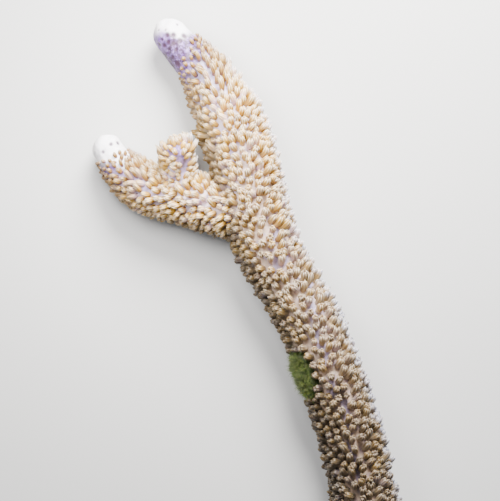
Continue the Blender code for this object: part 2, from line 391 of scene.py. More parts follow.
class NodeSheet:
    """A material's nodes, with short ways to add them."""

    def __init__(self, name: str, colour: Triple) -> None:
        """Starts a material on one shader.

        Args:
            name: the material's name.
            colour: its plain colour, for solid views.
        """
        self.material = bpy.data.materials.new(name)
        self.material.use_nodes = True
        self.material.diffuse_color = (*colour, 1.0)
        self.tree = self.material.node_tree
        self.shader = self.tree.nodes["Principled BSDF"]

    def set(self, **values: float) -> None:
        """Sets numbers on the shader's own sockets, named with underscores."""
        for name, value in values.items():
            self.shader.inputs[name.replace("_", " ")].default_value = value

    def join(self, value: object, socket: Socket) -> None:
        """Links a node's output to a socket, or sets a plain value there.

        Args:
            value: an output, a number or a colour.
            socket: where it goes.
        """
        if isinstance(value, Socket):
            self.tree.links.new(value, socket)
        else:
            socket.default_value = (*value, 1.0) if isinstance(value, tuple) else value

    def add(self, kind: str, result: object, inputs: dict, **options: str) -> Socket:
        """Adds a node.

        Args:
            kind: its type, without the first word.
            result: which of its outputs is wanted.
            inputs: a value or another node's output for each socket.
            options: its settings.

        Returns:
            The output.
        """
        node = self.tree.nodes.new("ShaderNode" + kind)
        for name, value in options.items():
            setattr(node, name, value)
        for socket, value in inputs.items():
            self.join(value, node.inputs[socket])
        return node.outputs[result]

    def attribute(self, name: str) -> Socket:
        """Reads a number that the mesh stores at its points."""
        return self.add("Attribute", "Fac", {}, attribute_name=name)

    def noise(self, size: float, detail: float = 2.0, rough: float = 0.5) -> Socket:
        """Cloudy noise whose features are about size millimetres across."""
        inputs = {"Vector": self._place(), "Scale": 1 / (size * MM)}
        return self.add("TexNoise", "Fac", inputs | {"Detail": detail, "Roughness": rough})

    def cells(self, size: float) -> Socket:
        """Distance to the nearest of points about size millimetres apart."""
        inputs = {"Vector": self._place(), "Scale": 1 / (size * MM)}
        return self.add("TexVoronoi", "Distance", inputs)

    def _place(self) -> Socket:
        """The point's place on the object, in metres."""
        found = self.tree.nodes.get("place")
        if found:
            return found.outputs["Object"]
        return self.add("TexCoord", "Object", {}, name="place")

    def span(self, value: Socket, low: float, high: float) -> Socket:
        """Stretches low to high over 0 to 1, smoothly."""
        inputs = {"Value": value, "From Min": low, "From Max": high}
        return self.add("MapRange", "Result", inputs, interpolation_type="SMOOTHSTEP")

    def sum(self, a: object, b: object, kind: str = "ADD") -> Socket:
        """One number from two, by a kind of arithmetic."""
        return self.add("Math", 0, {0: a, 1: b}, operation=kind)

    def times(self, *factors: object) -> Socket:
        """The product of some numbers."""
        return functools.reduce(lambda a, b: self.sum(a, b, "MULTIPLY"), factors)

    def less(self, value: Socket) -> Socket:
        """What a share leaves of the whole."""
        return self.sum(1.0, value, "SUBTRACT")

    def mix(self, a: object, b: object, share: object, kind: str = "MIX") -> Socket:
        """A colour between a and b."""
        inputs = {"Factor": share, 6: a, 7: b}
        return self.add("Mix", 2, inputs, data_type="RGBA", blend_type=kind)

    def bump(self, height: Socket, depth: float, strength: float) -> None:
        """Raises the surface by height times depth millimetres."""
        inputs = {"Strength": strength, "Distance": depth * MM, "Height": height}
        self.join(self.add("Bump", "Normal", inputs), self.shader.inputs["Normal"])

    def colour(self, value: Socket) -> None:
        """Makes this the surface's colour."""
        self.join(value, self.shader.inputs["Base Color"])

    def soften(self, weight: float, depth: float, tint: Triple) -> None:
        """Lets light into the flesh, about depth millimetres deep."""
        self.set(Subsurface_Weight=weight, Subsurface_Scale=depth * MM)
        self.shader.inputs["Subsurface Radius"].default_value = tint


@dataclass(frozen=True)
class SkinFinish:
    """Moist lavender flesh, white where it grows, with mauve sunken pores."""

    white: Triple = (0.92, 0.90, 0.94)
    pale: Triple = (0.40, 0.25, 0.62)
    lavender: Triple = (0.17, 0.07, 0.34)
    plum: Triple = (0.07, 0.032, 0.09)
    mauve: Triple = (0.06, 0.022, 0.055)
    shade: Triple = (0.80, 0.62, 0.50)
    weathered_and_shade: Triple = (0.31, 0.265, 0.215)
    inside: Triple = (0.62, 0.50, 0.44)

    def make(self) -> Material:
        """Builds the material, for a mesh's first slot."""
        sheet = NodeSheet("lavender_skin", self.lavender)
        cloud = sheet.span(sheet.noise(1.3, 3.0, 0.6), 0.46, 0.74)
        colour = sheet.mix(self.lavender, self.pale, cloud)
        grains = sheet.span(sheet.cells(0.13), 0.10, 0.45)
        colour = sheet.mix(self.white, colour, sheet.sum(grains, 0.82, "MAXIMUM"))
        blotch = sheet.span(sheet.noise(0.62, 3.0, 0.65), 0.40, 0.57)
        colour = sheet.mix(colour, self.plum, sheet.times(blotch, sheet.attribute("mottle")))
        for tint, cue in ((self.white, "growth"), (self.mauve, "pore"), (self.shade, "hollow")):
            colour = sheet.mix(colour, tint, sheet.attribute(cue))
        # Painted shade: the skin darkens on the sides turned from the lamps, and towards the cut
        # end, partly the older flesh's own dullness and partly painted shade.
        colour = sheet.mix(colour, self.weathered_and_shade, sheet.attribute("age"), "MULTIPLY")
        colour = sheet.mix(colour, self.inside, sheet.attribute("cut"))
        sheet.colour(colour)
        sheet.set(Roughness=0.5, Coat_Weight=0.05, Coat_Roughness=0.2)
        sheet.soften(0.12, 0.15, (1.0, 0.80, 0.80))
        height = sheet.sum(sheet.cells(0.13), sheet.noise(0.3, 3.0))
        sheet.bump(height, 0.05, 0.55)
        return sheet.material


@dataclass(frozen=True)
class PolypFinish:
    """Translucent tan polyps with cream tentacles and whitish tips."""

    tan: Triple = (0.34, 0.215, 0.10)
    gold: Triple = (0.52, 0.275, 0.0)
    bronze: Triple = (0.17, 0.08, 0.02)
    brown: Triple = (0.14, 0.085, 0.05)
    dun_and_fill_light: Triple = (0.88, 0.70, 0.48)
    blush: Triple = (0.66, 0.50, 0.68)
    cream: Triple = (0.97, 0.73, 0.34)
    tip: Triple = (1.0, 0.94, 0.86)
    painted_rim_tint: Triple = (0.70, 0.78, 1.0)
    mauve: Triple = (0.20, 0.10, 0.22)
    weathered_and_shade: Triple = (0.172, 0.178, 0.188)

    def make(self) -> Material:
        """Builds the material, for a mesh's first slot."""
        sheet = NodeSheet("polyp_flesh", self.tan)
        cues = ("rise", "rib", "tone", "gilt", "young", "age", "cool", "throat")
        rise, rib, tone, gilt, young, age, cool, throat = map(sheet.attribute, cues)
        # The cream stripes and white crowns fade where flesh is old, and where painted shade falls
        # on the sides turned from the lamps.
        fresh_and_lit, grown = sheet.less(age), sheet.less(sheet.times(young, 0.7))
        body = self.tan
        cloud = sheet.span(sheet.noise(0.5, 2.0), 0.3, 0.7)
        for tint, share in (
            (self.gold, gilt),
            (self.brown, sheet.times(sheet.sum(cloud, tone), 0.22)),
            (self.blush, sheet.times(sheet.span(tone, 0.22, 0.0), sheet.span(rise, 1.1, 0.2))),
            (self.bronze, sheet.times(young, 0.75)),
            (self.mauve, sheet.times(sheet.span(rise, 0.55, 0.05), young)),
            # Older polyps' lower stalks go pale and dull: partly their own colour and partly
            # painted light where the stalks sit in shade.
            (self.dun_and_fill_light, sheet.times(sheet.span(rise, 0.80, 0.15), age)),
        ):
            body = sheet.mix(body, tint, share)
        ridge = sheet.span(rib, 0.53, 0.95)
        stripe = sheet.times(ridge, sheet.span(rise, 0.25, 0.88), grown)
        stripe = sheet.times(stripe, sheet.sum(sheet.times(fresh_and_lit, 0.72), 0.28))
        gilded = sheet.sum(0.94, sheet.times(gilt, 0.28), "SUBTRACT")
        colour = sheet.mix(body, self.cream, sheet.times(stripe, gilded))
        lines = sheet.sum(sheet.times(ridge, 0.76), sheet.times(fresh_and_lit, 0.16))
        crown = sheet.times(lines, sheet.span(rise, 0.58, 0.96), grown)
        crown = sheet.times(crown, sheet.sum(sheet.times(fresh_and_lit, 0.6), 0.4))
        # The white crowns take the painted bluish rim light on the polyps that face right.
        colour = sheet.mix(colour, sheet.mix(self.tip, self.painted_rim_tint, cool), crown)
        colour = sheet.mix(colour, self.brown, throat)
        # Painted shade: the polyps darken on the sides turned from the lamps, and towards the cut
        # end, partly the older polyps' own dullness and partly painted shade.
        colour = sheet.mix(colour, self.weathered_and_shade, age, "MULTIPLY")
        # Painted bluish rim light at the tops of the polyps that face right.
        edge = sheet.times(cool, sheet.span(rise, 0.55, 0.98), 0.30)
        colour = sheet.mix(colour, self.painted_rim_tint, edge)
        sheet.colour(colour)
        sheet.set(Roughness=0.45, Coat_Weight=0.08, Coat_Roughness=0.2)
        sheet.soften(0.42, 0.36, (1.0, 0.80, 0.44))
        sheet.bump(sheet.noise(0.12, 2.0), 0.02, 0.5)
        return sheet.material


@dataclass(frozen=True)
class TurfFinish:
    """Wet green threads, darker at the root and paler at the ends."""

    root: Triple = (0.030, 0.048, 0.013)
    green: Triple = (0.064, 0.086, 0.010)
    end: Triple = (0.17, 0.20, 0.050)

    def make(self) -> Material:
        """Builds the material, for a mesh's first slot."""
        sheet = NodeSheet("turf_green", self.green)
        rise, tone = sheet.attribute("rise"), sheet.attribute("tone")
        cloud = sheet.span(sheet.noise(0.9, 2.0), 0.35, 0.65)
        green = sheet.mix(self.green, self.root, sheet.times(cloud, 0.75))
        colour = sheet.mix(self.root, green, sheet.span(rise, 0.0, 0.45))
        pale = sheet.times(sheet.span(rise, 0.5, 1.0), tone)
        sheet.colour(sheet.mix(colour, self.end, pale))
        sheet.set(Roughness=0.5, Coat_Weight=0.2, Coat_Roughness=0.3)
        sheet.soften(0.2, 0.3, (0.5, 1.0, 0.2))
        sheet.bump(sheet.noise(0.15, 2.0), 0.03, 0.5)
        return sheet.material


@dataclass(frozen=True)
class FloorFinish:
    """A plain pale studio floor."""

    pale: Triple = (0.60, 0.60, 0.59)
    cloud: Triple = (0.58, 0.58, 0.58)

    def make(self) -> Material:
        """Builds the material, for a mesh's first slot."""
        sheet = NodeSheet("studio_floor", self.pale)
        sheet.colour(sheet.mix(self.pale, self.cloud, sheet.noise(60.0)))
        sheet.set(Roughness=0.8)
        return sheet.material


@dataclass(frozen=True)
class TurfPatch:
    """The outline, on the main line's skin, of the green turf."""

    along: float = 23.7
    half_along: float = 3.9
    turn: float = math.radians(166.0)
    half_around: float = 2.7
    squareness: float = 2.6
    skin_radius: float = 3.55

    def depth(self, place: Place) -> Array:
        """How far out points are.

        Args:
            place: where they are.

        Returns:
            0 in the patch's middle and 1 at its edge.
        """
        along = np.abs(place.along - self.along) / self.half_along
        turned = (place.turn - self.turn + math.pi) % math.tau - math.pi
        around = np.abs(turned) * self.skin_radius / self.half_around
        far = (along**self.squareness + around**self.squareness) ** (1 / self.squareness)
        return np.where(place.branch == Branch.MAIN.value, far, FAR_OFF)


@dataclass(frozen=True)
class BareStrips:
    """Narrow places of the upper side where no polyp hides the skin.

    Each is a line in pixels of the photograph, and its half width.
    """

    lines: tuple[tuple[float, float, float, float, float], ...] = (
        (274.5, 228, 275.5, 235, 0.34), (281, 240, 281.5, 245, 0.30), (285, 252, 284, 262, 0.32),
        (276, 259, 276, 272, 0.34), (303, 256, 306, 268, 0.38), (308, 280, 311, 292, 0.38),
        (310, 304, 313, 318, 0.38), (314, 330, 317, 345, 0.36), (322, 345, 327, 360, 0.36),
        (330, 380, 333, 392, 0.28), (342, 398, 345, 414, 0.36), (346, 424, 349, 434, 0.32),
        (348, 442, 352, 456, 0.36), (355, 464, 358, 476, 0.32), (181, 158, 186, 175, 0.38),
        (190, 157, 184, 168, 0.34), (149, 176, 152, 184, 0.34), (124, 168, 125, 175, 0.30),
        (134, 174, 136, 182, 0.30), (146, 187, 147, 196, 0.32), (232, 152, 235, 164, 0.22),
        (219, 168, 222, 180, 0.22), (226, 86, 231, 98, 0.18), (205, 77, 208, 90, 0.18),
        (245, 118, 250, 132, 0.20),
    )

    def depth(self, points: Array, out: Array) -> Array:
        """How far points are from the nearest strip.

        Args:
            points: places on the skin.
            out: the directions out of it.

        Returns:
            0 in a strip's middle and 1 at its edge.
        """
        nearest = np.full(len(points), FAR_OFF)
        for x0, y0, x1, y1, half in self.lines:
            start, end = from_pixel(x0, y0), from_pixel(x1, y1)
            run = end - start
            share = np.clip((points[:, :2] - start) @ run / (run @ run), 0, 1)
            far = np.linalg.norm(points[:, :2] - start - share[:, None] * run, axis=1)
            nearest = np.where(out[:, 2] > 0.2, np.minimum(nearest, far / half), nearest)
        return nearest


@dataclass
class Skin:
    """The continuous skin of the branch, with its pores and cut end."""

    skeleton: Skeleton
    voxel: float = 0.2
    smoothing: int = 9
    stump: float = 1.2
    around: int = 48
    ring_gap: float = 0.4
    cut_rings: int = 9
    cut_ring_width: float = 0.33
    sharp_angle: float = math.radians(52)
    pore_depth: float = 0.14
    mound: float = 0.17
    mound_width: float = 0.42
    # Sunken pores of drawn-in polyps that show on the bare tips, in pixels
    # of the photograph, each with its radius in millimetres.
    pores: tuple[Triple, ...] = (
        (178, 25, 0.16), (166, 31, 0.15), (159, 31, 0.12), (173.6, 36.3, 0.36),
        (167.5, 36.8, 0.32), (184.3, 36.8, 0.36), (180.3, 41.7, 0.32), (174.5, 44.4, 0.38),
        (168.7, 43, 0.32), (164.2, 46.2, 0.32), (159.3, 45, 0.30), (162, 40.5, 0.22),
        (165, 55, 0.34), (170, 50.5, 0.24), (177, 51, 0.22), (173.6, 57.5, 0.24),
        (170, 61.8, 0.34), (178, 64, 0.38), (171.5, 68, 0.30), (111.4, 145, 0.24),
        (118, 143.5, 0.26), (104, 152, 0.20), (345, 418, 0.26),
    )
    random_pores: int = 46
    mesh: Mesh = field(init=False)
    place: Place = field(init=False)

    def grow(self) -> None:
        """Joins the tubes of flesh into one smooth skin, with a flat cut."""
        points, faces = np.zeros((0, 3)), []
        for line in self.skeleton.lines:
            extra = self.stump if line.branch is Branch.MAIN else 0.0
            some, more = line.tube(self.around, self.ring_gap, extra)
            faces += [tuple(i + len(points) for i in face) for face in more]
            points = np.vstack([points, some])
        raw = bpy.data.meshes.new("raw_skin")
        raw.from_pydata(points.tolist(), [], faces)
        obj = make_object("raw_skin", raw)
        remesh = obj.modifiers.new("one_skin", "REMESH")
        remesh.mode = "VOXEL"
        remesh.voxel_size = self.voxel
        soft = obj.modifiers.new("soft_forks", "SMOOTH")
        soft.factor = 0.5
        soft.iterations = self.smoothing
        graph = bpy.context.evaluated_depsgraph_get()
        self.mesh = bpy.data.meshes.new_from_object(obj.evaluated_get(graph))
        bpy.data.objects.remove(obj)
        self._cut()
        self.place = self.skeleton.locate(points_of(self.mesh))

    def _cut(self) -> None:
        """Cuts the stem's end off flat, and makes the cut's own face."""
        main = self.skeleton.lines[0]
        edit = bmesh.new()
        edit.from_mesh(self.mesh)
        bmesh.ops.bisect_plane(
            edit,
            geom=edit.verts[:] + edit.edges[:] + edit.faces[:],
            plane_co=Vector(main.centres[0]),
            plane_no=-Vector(main.tangents[0]),
            clear_outer=True,
        )
        rim = [e for e in edit.edges if e.is_boundary]
        faces = bmesh.ops.edgeloop_fill(edit, edges=rim)["faces"]
        for _ in range(self.cut_rings):
            bmesh.ops.inset_region(
                edit, faces=faces, thickness=self.cut_ring_width, use_even_offset=False
            )
        bmesh.ops.triangulate(edit, faces=faces)
        edit.normal_update()
        edit.to_mesh(self.mesh)
        edit.free()

    def sculpt(self, feet: Array, patch: TurfPatch, strips: BareStrips) -> None:
        """Gives the skin its mounds, pores and lumps, and its colour cues.

        Args:
            feet: where polyps stand.
            patch: where the turf grows.
            strips: where the skin shows between the polyps.
        """
        points, out = points_of(self.mesh), normals_of(self.mesh)
        tree = KDTree(len(feet))
        for i, foot in enumerate(feet):
            tree.insert(foot, i)
        tree.balance()
        near = np.array([tree.find(p)[2] for p in points])
        mounds = np.exp(-((near / self.mound_width) ** 2))
        pore = np.zeros(len(points))
        for centre, radius in self._pore_places(points, out, near):
            far = np.linalg.norm(points - centre, axis=1) / radius
            pore = np.maximum(pore, smooth_step(1.8, 0.6, far))
        main = self.skeleton.lines[0]
        cut = (points - main.centres[0]) @ main.tangents[0]
        on_cut = cut < ON_CUT
        rise = lumps(points, (3, 2.6, 0.07), (4, 0.9, 0.03))
        rise = rise + self.mound * mounds - self.pore_depth * pore
        grain = lumps(points, (6, 0.7, 0.04), (7, 0.3, 0.03)) * near_cut_rim(points, cut)
        moved = points + out * np.where(on_cut, grain, rise)[:, None]
        lift(moved)
        self.mesh.vertices.foreach_set("co", (moved * MM).ravel())
        self.mesh.update()
        cues = self._colour_cues(points, out, patch, strips)
        write_cues(self.mesh, pore=pore, cut=np.where(on_cut, 0.9, 0.0), **cues)
        shade_smooth(self.mesh)
        self.mesh.set_sharp_from_angle(angle=self.sharp_angle)

    def _colour_cues(
        self, points: Array, out: Array, patch: TurfPatch, strips: BareStrips
    ) -> dict[str, Array]:
        """The numbers that colour the skin, from where its points are."""
        place = self.place
        left = place.branch == Branch.LEFT.value
        # This carries the older flesh's duller colour and painted shade on the sides turned from
        # the lamps; it also dims the veins and the white between polyps.
        age = age_and_shade_of(place, out)
        veins = smooth_step(0.45, 0.95, waves(points, 8, 1.6)) * blend(0.9, 0.35, age)
        shown = np.maximum(veins, smooth_step(2.2, 1.0, strips.depth(points, out)))
        old_strips = shown * smooth_step(20.0, 34.0, place.to_tip)
        covered = smooth_step(1.0, 9.0, place.bare)
        crowd = covered * (1 - shown) * blend(0.10, 0.95, smooth_step(8.0, 34.0, place.to_tip))
        turn = np.degrees(np.abs(place.turn))
        front = 0.9 * smooth_step(180.0, 105.0, turn) + 3.0 * smooth_step(108.0, 72.0, turn) - 2.0
        front += np.where(left, 3.2, 0.0)
        growth = smooth_step(0.9, -0.9, place.to_tip - front) * (place.branch != Branch.SHOOT.value)
        bright = smooth_step(0.5, 5.0, place.bare) * blend(0.43, 0.28, age)
        growth = np.maximum(growth, np.maximum(bright * blend(1.0, 0.5, shown), 0.34 * old_strips))
        mottle = smooth_step(-5.4, -3.6, place.bare) * smooth_step(7.0, 2.0, place.bare)
        mottle *= np.where(left, 0.5, 1.0)
        under = smooth_step(1.15, 0.9, patch.depth(place))
        hollow = np.clip(crowd + under * 0.6, 0, 1)
        return {"hollow": hollow, "age": age, "growth": growth, "mottle": mottle}

    def _pore_places(self, points: Array, out: Array, near: Array) -> list:
        """Places and radii of pores: the seen ones, and some on hidden bare skin."""
        found = []
        above = np.where(out[:, 2] > 0.15)[0]
        for x, y, radius in self.pores:
            far = np.linalg.norm(points[above, :2] - from_pixel(x, y), axis=1)
            found.append((points[above[far.argmin()]], radius))
        chance = np.random.default_rng(11)
        low = (self.place.bare < 0.3) & (self.place.to_tip > 0.4) & (out[:, 2] < 0.1)
        free = (near > 0.85) & (self.place.bare > 1)
        for where, least, most in ((low, 0.18, 0.32), (free, 0.14, 0.24)):
            rows = np.where(where)[0]
            count = min(len(rows), self.random_pores // 2)
            for i in chance.choice(rows, count, replace=False):
                found.append((points[i], chance.uniform(least, most)))
        return found

    def dress(self) -> None:
        """Puts the finished skin on the frame, in place of the coral's solids."""
        self.mesh.materials.clear()
        self.mesh.materials.append(SkinFinish().make())
        obj = make_object("coral_skin", self.mesh)
        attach(obj, BODY)
        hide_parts("stem", "upper_branch", "left_branch", "side_shoot")


def age_and_shade_of(place: Place, out: Array) -> Array:
    """How dull flesh is painted: more where it is old, partly its own duller colour and partly
    painted shade, and painted shade where it faces down, away from the lamps.

    Args:
        place: where points are.
        out: the directions out of the flesh there.

    Returns:
        0 near the growing tips, and up to 1.
    """
    # Darker farther from the tips: partly the older flesh's own colour and partly painted shade for
    # the light falling off towards the cut end.
    old = np.clip((place.to_tip - 16.0) / 54.0, 0, 1)
    # Painted shade on flesh that faces away from the lamps, weaker near the tips and on the shoot.
    turned = smooth_step(0.50, -0.45, out @ PAINTED_LIT_SIDE - 0.3 * old)
    turned *= blend(0.5, 1.0, smooth_step(4.0, 24.0, place.to_tip))
    turned *= np.where(place.branch == Branch.SHOOT.value, 0.6, 1.0)
    return 1 - (1 - 0.81 * old) * (1 - 0.82 * turned)


def near_cut_rim(points: Array, cut: Array) -> Array:
    """Finds how far inside the cut face points are.

    Args:
        points: the skin's points.
        cut: how far each is from the plane of the cut.

    Returns:
        1 over the middle of the cut face, falling to 0 at its rim.
    """
    on_face = points[np.abs(cut) < ON_CUT]
    middle = on_face.mean(axis=0)
    reach = np.linalg.norm(on_face - middle, axis=1).max()
    return smooth_step(reach, reach - 0.5, np.linalg.norm(points - middle, axis=1))


@dataclass(frozen=True)
class PolypForm:
    """One closed polyp: a stalk, eight ribbed tentacles and a sunken mouth.

    Each ring is height, radius when open, radius when closed, depth between
    the ribs, drop between the ribs, and how much the tentacles differ there.
    """

    tentacles: int = 8
    rings: tuple[tuple[float, float, float, float, float, float], ...] = (
        (-0.16, 0.82, 0.82, 0.00, 0.00, 0.0),
        (0.18, 0.75, 0.83, 0.07, 0.00, 0.0),
        (0.50, 0.90, 0.98, 0.13, 0.00, 0.4),
        (0.78, 1.00, 0.94, 0.16, 0.01, 0.8),
        (0.93, 0.92, 0.70, 0.20, 0.03, 1.0),
        (1.00, 0.68, 0.40, 0.22, 0.05, 1.0),
        (0.97, 0.42, 0.20, 0.20, 0.04, 1.0),
        (0.88, 0.24, 0.11, 0.12, 0.02, 0.3),
    )
    mouth: float = 0.84

    @property
    def around(self) -> int:
        """Points in each ring: a rib and two more for each tentacle."""
        return self.tentacles * 3

    def faces(self) -> Array:
        """The faces between the rings."""
        return np.array(tube_faces(len(self.rings), self.around))

    def mouth_faces(self) -> Array:
        """The triangles that close the mouth."""
        last, middle = (len(self.rings) - 1) * self.around, len(self.rings) * self.around
        return np.array([(last + j, last + k, middle) for j, k in pairs(self.around)])


@dataclass
class Polyps:
    """Where polyps stand, and how each one is."""

    foot: Array
    out: Array
    place: Place
    length: Array = field(init=False)
    width: Array = field(init=False)
    lean: Array = field(init=False)
    openness: Array = field(init=False)
    gilt: Array = field(init=False)
    young: Array = field(init=False)
    age: Array = field(init=False)
    cool: Array = field(init=False)


@dataclass
class PolypCoat:
    """The closed polyps that cover the branch."""

    CUES: ClassVar[tuple[str, ...]] = ("gilt", "young", "age", "cool")
    skin: Skin
    patch: TurfPatch
    strips: BareStrips
    form: PolypForm = PolypForm()
    spacings: tuple[float, ...] = (1.17, 1.08, 1.00, 0.94, 0.89)
    # How close polyps stand where they are young, on the shoot, on the left
    # branch and near the growing tips, as shares of the spacing.
    young_spacing: float = 0.94
    shoot_spacing: float = 0.76
    left_spacing: float = 0.9
    tip_spacing: float = 0.86
    clear_of_turf: float = 1.07
    clear_of_cut: float = 0.45
    clear_of_floor: float = 0.1
    length: float = 1.70
    least_length: float = 0.55
    width: float = 0.56
    shoot_width: float = 0.84
    # How far a polyp's own root reaches out of the skin, the share of the room
    # ahead that it may fill, and of its length that it may lose and stay.
    root: float = 0.25
    room_share: float = 0.8
    least_share: float = 0.5
    # The middle of the side shoot's top, from which its polyps fan out upwards.
    shoot_middle: tuple[float, float] = (184.0, 170.0)
    seed: int = 5
    tries: int = 26000
    # Lengths along the main line at which one piece of polyps ends.
    splits: tuple[float, ...] = (18.0, 36.0, 50.0)
    # Where longer polyps fill the forks, in pixels of the photograph,
    # with the radius in millimetres and how much longer they are.
    long_ones: tuple[tuple[float, float, float, float], ...] = (
        (203, 130, 2.0, 1.25), (197, 142, 2.2, 1.60), (209, 154, 1.6, 1.35),
        (152, 158, 1.8, 1.45), (160, 154, 1.3, 1.45), (164, 158, 1.5, 1.25),
    )
    polyps: Polyps = field(init=False)

    def scatter(self) -> None:
        """Spreads the polyps evenly over the skin, and gives each its form."""
        chance = np.random.default_rng(self.seed)
        foot, out = self._candidates(chance)
        place = self.skin.skeleton.locate(foot)
        main = self.skin.skeleton.lines[0]
        keep = (place.bare > 0.0) & (self.patch.depth(place) > self.clear_of_turf)
        keep &= (foot - main.centres[0]) @ main.tangents[0] > self.clear_of_cut
        keep &= self.strips.depth(foot, out) > 1
        foot, out, place = foot[keep], out[keep], place.pick(keep)
        shoot, left = (place.branch == each.value for each in (Branch.SHOOT, Branch.LEFT))
        grown = smooth_step(0.0, 6.0, place.bare + np.where(shoot, 4.0, 0.0))
        closeness = blend(self.young_spacing, 1.0, grown)
        closeness *= np.where(shoot, self.shoot_spacing, 1.0)
        closeness *= np.where(left, self.left_spacing, 1.0)
        closeness *= blend(self.tip_spacing, 1.0, smooth_step(18.0, 42.0, place.to_tip))
        chosen = self._spread(foot, closeness)
        foot, out = foot[chosen], out[chosen]
        self.polyps = Polyps(foot, out, self.skin.skeleton.locate(foot))
        self._shape(chance)
        self._clear_crowding()

    def _candidates(self, chance: np.random.Generator) -> tuple[Array, Array]:
        """Draws random points of the skin, with the directions out of it."""
        count = self.tries
        mesh = self.skin.mesh
        mesh.calc_loop_triangles()
        corners = np.zeros(len(mesh.loop_triangles) * 3, np.int32)
        mesh.loop_triangles.foreach_get("vertices", corners)
        corners = corners.reshape(-1, 3)
        points, normals = points_of(mesh), normals_of(mesh)
        a, b, c = (points[corners[:, k]] for k in range(3))
        areas = np.linalg.norm(np.cross(b - a, c - a), axis=1)
        picked = chance.choice(len(corners), count, p=areas / areas.sum())
        u, v = chance.random(count), chance.random(count)
        over = u + v > 1
        u, v = np.where(over, 1 - u, u), np.where(over, 1 - v, v)
        shares = np.stack([1 - u - v, u, v], axis=1)[:, :, None]
        foot = (points[corners[picked]] * shares).sum(axis=1)
        return foot, unit((normals[corners[picked]] * shares).sum(axis=1))

    def _spread(self, foot: Array, closeness: Array) -> list[int]:
        """Picks points in turn, widest spacing first, that stand clear of the others."""
        chosen: list[int] = []
        grid: dict[tuple[int, int, int], list[int]] = {}
        cells = np.floor(foot / max(self.spacings)).astype(int).tolist()
        for spacing in self.spacings:
            for i, (x, y, z) in enumerate(cells):
                limit = (spacing * closeness[i]) ** 2
                near = (grid.get((x + a, y + b, z + c), ()) for a, b, c in NEIGHBOURS)
                gaps = (foot[i] - foot[k] for k in itertools.chain.from_iterable(near))
                if all(gap @ gap >= limit for gap in gaps):
                    chosen.append(i)
                    grid.setdefault((x, y, z), []).append(i)
        return chosen

    def _shape(self, chance: np.random.Generator) -> None:
        """Sets each polyp's size, lean and colour from where it stands."""
        polyps, uniform = self.polyps, chance.uniform
        place, count, out = polyps.place, len(polyps.foot), polyps.out
        shoot = place.branch == Branch.SHOOT.value
        grown = smooth_step(0.0, 5.5, np.where(shoot, place.bare + 3.0, place.bare))
        old = smooth_step(10.0, 55.0, place.to_tip)
        facing = np.clip(out @ LIT_SIDE, -1, 1)
        length = self.length * blend(0.42, 1.0, grown) * uniform(0.78, 1.18, count)
        width = self.width * blend(0.60, 1.0, grown) * uniform(0.88, 1.12, count)
        width *= blend(0.86, 1.04, smooth_step(8.0, 34.0, place.to_tip))
        streaky = smooth_step(24.0, 14.0, place.to_tip) * smooth_step(-0.2, 0.5, facing)
        length *= 1 + 0.2 * streaky * ~shoot
        length *= blend(0.78, 1.08, smooth_step(-0.7, 0.6, facing))
        length *= blend(0.86, 1.0, smooth_step(16.0, 40.0, place.to_tip))
        lean = blend(1.3, 0.60, smooth_step(0.0, 14.0, place.bare))
        lean *= blend(0.75, 1.0, smooth_step(0.2, 0.8, out[:, 2]))
        lean = np.minimum(lean + uniform(-0.3, 0.3, count), 1.35)
        # Painted bluish rim light on the polyps that face the outermost right side.
        polyps.cool = smooth_step(0.80, 0.99, out @ PAINTED_RIM_SIDE)
        polyps.openness = np.clip(blend(0.0, 0.45, old) + uniform(-0.3, 0.3, count), 0, 1)
        polyps.gilt = np.clip(blend(0.88, 0.15, old) + uniform(-0.5, 0.5, count), 0, 1)
        polyps.young = smooth_step(11.0, 1.0, place.bare) * ~shoot
        # The older polyps' duller colour, and painted shade on the sides turned from the lamps.
        polyps.age = age_and_shade_of(place, out)
        polyps.length, polyps.width, polyps.lean = length, width, lean
        self._fan_out(shoot, chance)
        self._fit_lengths()

    def _fan_out(self, shoot: Array, chance: np.random.Generator) -> None:
        """Turns the shoot's polyps up and outwards, and makes them smaller."""
        polyps, count = self.polyps, len(shoot)
        away = polyps.foot - np.append(from_pixel(*self.shoot_middle), 0.0)
        away = np.stack([0.7 * away[:, 0], 1.3 + 0.35 * away[:, 1], 0.0 * away[:, 2]], axis=1)
        polyps.place.tangent = np.where(shoot[:, None], unit(away), polyps.place.tangent)
        upright = blend(1.30, 0.55, smooth_step(0.8, 2.2, away[:, 0]))
        polyps.lean = np.where(shoot, upright + chance.uniform(-0.25, 0.25, count), polyps.lean)
        polyps.length *= np.where(shoot, chance.uniform(0.60, 0.90, count), 1.0)
        polyps.width *= np.where(shoot, self.shoot_width, 1.0)

    def _fit_lengths(self) -> None:
        """Lengthens the polyps that fill the forks, and keeps all off the surface."""
        polyps = self.polyps
        for x, y, radius, factor in self.long_ones:
            far = np.linalg.norm(polyps.foot[:, :2] - from_pixel(x, y), axis=1)
            polyps.length *= np.where(far < radius, factor, 1.0)
        below = np.where(polyps.out[:, 2] < -0.05, -polyps.out[:, 2], 1e-6)
        room = (polyps.foot[:, 2] - self.clear_of_floor) / below
        polyps.length = np.minimum(polyps.length, np.maximum(room, self.least_length))

    def _clear_crowding(self) -> None:
        """Shortens or drops the polyps that would grow into other flesh."""
        polyps = self.polyps
        tree = BVHTree.FromPolygons(
            [Vector(p) for p in points_of(self.skin.mesh)],
            [tuple(p.vertices) for p in self.skin.mesh.polygons],
        )
        heading = unit(polyps.out + polyps.place.tangent * polyps.lean[:, None] * 0.45)
        keep = np.ones(len(polyps.foot), bool)
        for i, foot in enumerate(polyps.foot):
            start = Vector(foot + polyps.out[i] * self.root)
            reach = polyps.length[i] * 1.3
            hit = tree.ray_cast(start, Vector(heading[i]), reach)[3]
            if hit is None:
                continue
            room = (hit + self.root) * self.room_share
            if room < polyps.length[i] * self.least_share:
                keep[i] = False
            polyps.length[i] = min(polyps.length[i], room)
        for name, values in list(vars(polyps).items()):
            setattr(polyps, name, values.pick(keep) if name == "place" else values[keep])

